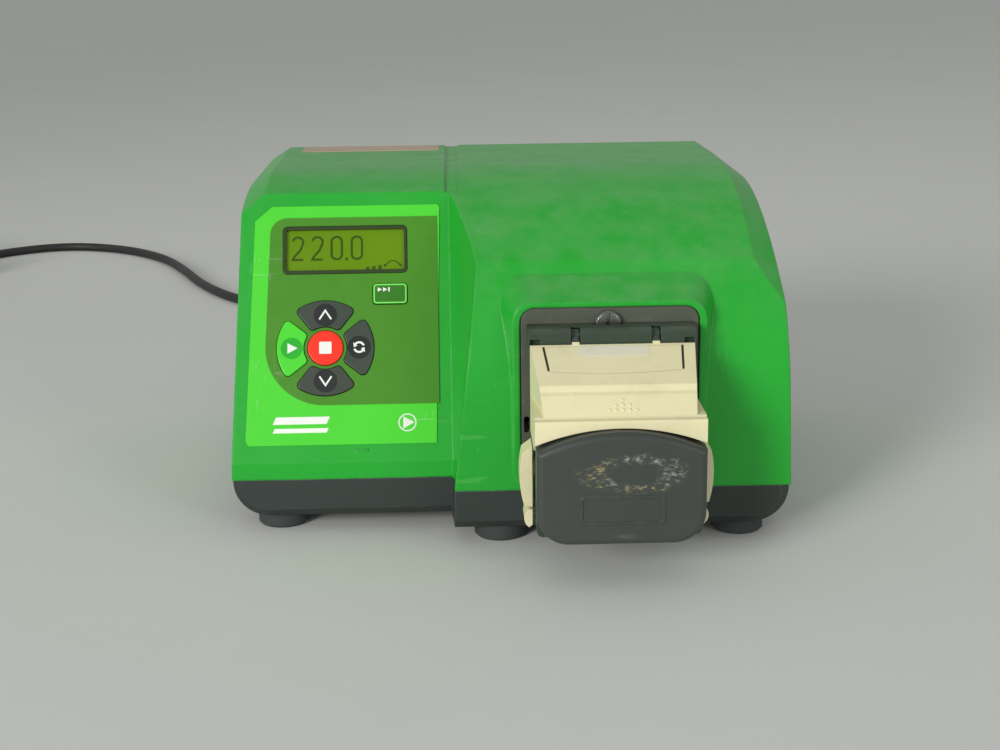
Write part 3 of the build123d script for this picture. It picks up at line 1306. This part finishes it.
SELECTOR_TRAVEL = 6.0
with BuildPart() as selector_slider:
    with BuildSketch(rear(PANEL_THICK + 0.2)):
        with Locations((SELECTOR_SPOT[0] - SELECTOR_TRAVEL / 2, SELECTOR_SPOT[1])):
            Rectangle(7.2, 5.4)
            Rectangle(1.0, 3.4, mode=Mode.SUBTRACT)
    extrude(amount=5)
selector_slider.part.label = "selector_slider"
export_step(selector_slider.part, "parts/selector_slider.step")

with BuildPart() as signal_ports:
    with BuildSketch(rear(PANEL_THICK + 0.8)):
        with Locations(*PORT_SPOTS):
            RectangleRounded(34, 13.4, 1.5)
    extrude(amount=0.8)
    with BuildSketch(rear(PANEL_THICK + REAR_PROUD + 0.2)):
        with Locations(*PORT_SPOTS):
            RectangleRounded(22, 9.6, 2.6)
    extrude(amount=REAR_PROUD - 0.6)
    with BuildSketch(rear(PANEL_THICK + REAR_PROUD + 0.2)):
        with Locations(*PORT_SPOTS):
            with GridLocations(2.8, 4.4, 6, 2):
                Circle(0.7)
    extrude(amount=4.0, mode=Mode.SUBTRACT)
    with BuildSketch(rear(PANEL_THICK)):
        with Locations(*PORT_SPOTS):
            Rectangle(PORT_CUT[0] - 0.3, PORT_CUT[1] - 0.3)
    extrude(amount=9)
signal_ports.part.label = "signal_ports"
export_step(signal_ports.part, "parts/signal_ports.step")

# ---------------------------------------------------------------- mains lead
CORD_RADIUS = CORD_DIAMETER / 2
CONNECTOR_BACK = BACK + 2.0
RELIEF_START = BACK + 30.0
RELIEF_END = BACK + 62.0
CORD_FLOOR = 3.8


def lead_plane(y):
    """A rear-facing sketch plane: x left to right seen from the front is mirrored, y up."""
    return Plane(origin=(0, y, 0), x_dir=(-1, 0, 0), z_dir=(0, 1, 0))


with BuildPart() as lead_connector:
    with BuildSketch(lead_plane(CONNECTOR_BACK)):
        with Locations((-INLET_SPOT[0], INLET_SPOT[1])):
            RectangleRounded(27.5, 19.5, 3)
    extrude(amount=RELIEF_START - CONNECTOR_BACK)
    outer = lead_connector.faces().sort_by(Axis.Y)[-1].outer_wire().edges()
    chamfer(outer, length=3.0)
    with BuildSketch(lead_plane(CONNECTOR_BACK - 14)):
        with Locations((-INLET_SPOT[0], INLET_SPOT[1])):
            RectangleRounded(23.4, 16.0, 2)
    extrude(amount=14)
    with BuildSketch(lead_plane(CONNECTOR_BACK - 14)):
        with Locations((-INLET_SPOT[0] - 7, INLET_SPOT[1] - 2), (-INLET_SPOT[0] + 7, INLET_SPOT[1] - 2)):
            Rectangle(2.8, 4.8)
        with Locations((-INLET_SPOT[0], INLET_SPOT[1] + 2)):
            Rectangle(2.8, 4.8)
    extrude(amount=15, mode=Mode.SUBTRACT)
    # Tapered strain relief moulded on.
    with BuildSketch(lead_plane(RELIEF_START)):
        with Locations((-INLET_SPOT[0], INLET_SPOT[1])):
            Circle(6.2)
    with BuildSketch(lead_plane(RELIEF_END)):
        with Locations((-INLET_SPOT[0], INLET_SPOT[1])):
            Circle(CORD_RADIUS + 0.7)
    loft()
lead_connector.part.label = "lead_connector"
export_step(lead_connector.part, "parts/lead_connector.step")

# The lead leaves the connector, drops to the surface behind the drive and runs left.
COIL_AT = (-518.2, 668.5)
COIL_RADIUS = 40.0
COIL_HALF = 8.0
COIL_BASE = 1.3
COIL_HEIGHT = 22.3
LEAD_POINTS = [
    (INLET_SPOT[0], RELIEF_END, INLET_SPOT[1]),
    (-88.5, 243.0, 52.0),
    (-92.0, 285.0, 26.0),
    (-99.0, 330.0, CORD_FLOOR),
    (-122.0, 385.0, CORD_FLOOR),
    (-160.0, 435.0, CORD_FLOOR),
    (-205.0, 480.0, CORD_FLOOR),
    (-238.0, 540.0, CORD_FLOOR),
    (-262.0, 605.0, CORD_FLOOR),
    (-290.0, 665.0, CORD_FLOOR),
    (-335.0, 715.0, CORD_FLOOR),
    (-393.0, 738.0, CORD_FLOOR),
    (-443.0, 710.0, CORD_FLOOR),
    (-467.8, 672.4, CORD_FLOOR),
]
points = [Vector(*p) for p in LEAD_POINTS]
radii = []
for before, corner, after in zip(points, points[1:], points[2:]):
    turn = (corner - before).get_angle(after - corner)
    shorter = min((corner - before).length, (after - corner).length)
    radii.append(0.45 * shorter / math.tan(math.radians(turn / 2)))
with BuildPart() as mains_lead:
    with BuildLine():
        path = FilletPolyline(*points, radius=radii)
    with BuildSketch(Plane(origin=points[0], z_dir=points[1] - points[0])):
        Circle(CORD_RADIUS)
    sweep(path=path)
mains_lead.part.label = "mains_lead"
export_step(mains_lead.part, "parts/mains_lead.step")

with BuildPart() as lead_coil:
    with BuildSketch(Plane.XY.offset(COIL_BASE)):
        with Locations(COIL_AT):
            Circle(COIL_RADIUS + COIL_HALF)
            Circle(COIL_RADIUS - COIL_HALF, mode=Mode.SUBTRACT)
    extrude(amount=COIL_HEIGHT)
lead_coil.part.label = "lead_coil"
export_step(lead_coil.part, "parts/lead_coil.step")

with BuildPart() as lead_tie:
    with BuildSketch(Plane.XZ.offset(-COIL_AT[1] - 4)):
        with Locations((COIL_AT[0] - COIL_RADIUS, COIL_BASE + COIL_HEIGHT / 2)):
            RectangleRounded(2 * COIL_HALF + 3.0, COIL_HEIGHT + 2.4, 2)
            RectangleRounded(2 * COIL_HALF + 0.6, COIL_HEIGHT, 1, mode=Mode.SUBTRACT)
    extrude(amount=8)
lead_tie.part.label = "lead_tie"
export_step(lead_tie.part, "parts/lead_tie.step")

PLUG_X = COIL_AT[0] + COIL_RADIUS
PLUG_TIP = COIL_AT[1] - 31.0
PLUG_CABLE_Z = 11.0
PLUG_THICK = 21.0
with BuildPart() as mains_plug:
    with BuildSketch(Plane.XY.offset(0.1)):
        with Locations((PLUG_X, PLUG_TIP - 24 - 21)):
            RectangleRounded(48, 42, 9)
    extrude(amount=PLUG_THICK)
    chamfer(mains_plug.faces().sort_by(Axis.Z)[0].outer_wire().edges(), length=3.0)
    fillet(mains_plug.faces().sort_by(Axis.Z)[-1].outer_wire().edges(), radius=1.2)
    with BuildSketch(front_plane(PLUG_TIP)):
        with Locations((PLUG_X, PLUG_CABLE_Z)):
            Circle(CORD_RADIUS + 0.6)
    with BuildSketch(front_plane(PLUG_TIP - 24)):
        with Locations((PLUG_X, PLUG_CABLE_Z)):
            Circle(6.6)
    loft()
mains_plug.part.label = "mains_plug"
export_step(mains_plug.part, "parts/mains_plug.step")

with BuildPart() as plug_pins:
    with BuildSketch(Plane.XY.offset(PLUG_THICK + 0.1)):
        with Locations((PLUG_X - 11.1, PLUG_TIP - 36), (PLUG_X + 11.1, PLUG_TIP - 36)):
            Rectangle(6.4, 4.0)
    extrude(amount=17.7)
    with BuildSketch(Plane.XY.offset(PLUG_THICK + 0.1)):
        with Locations((PLUG_X, PLUG_TIP - 58)):
            Rectangle(4.0, 8.0)
    extrude(amount=22.7)
plug_pins.part.label = "plug_pins"
export_step(plug_pins.part, "parts/plug_pins.step")
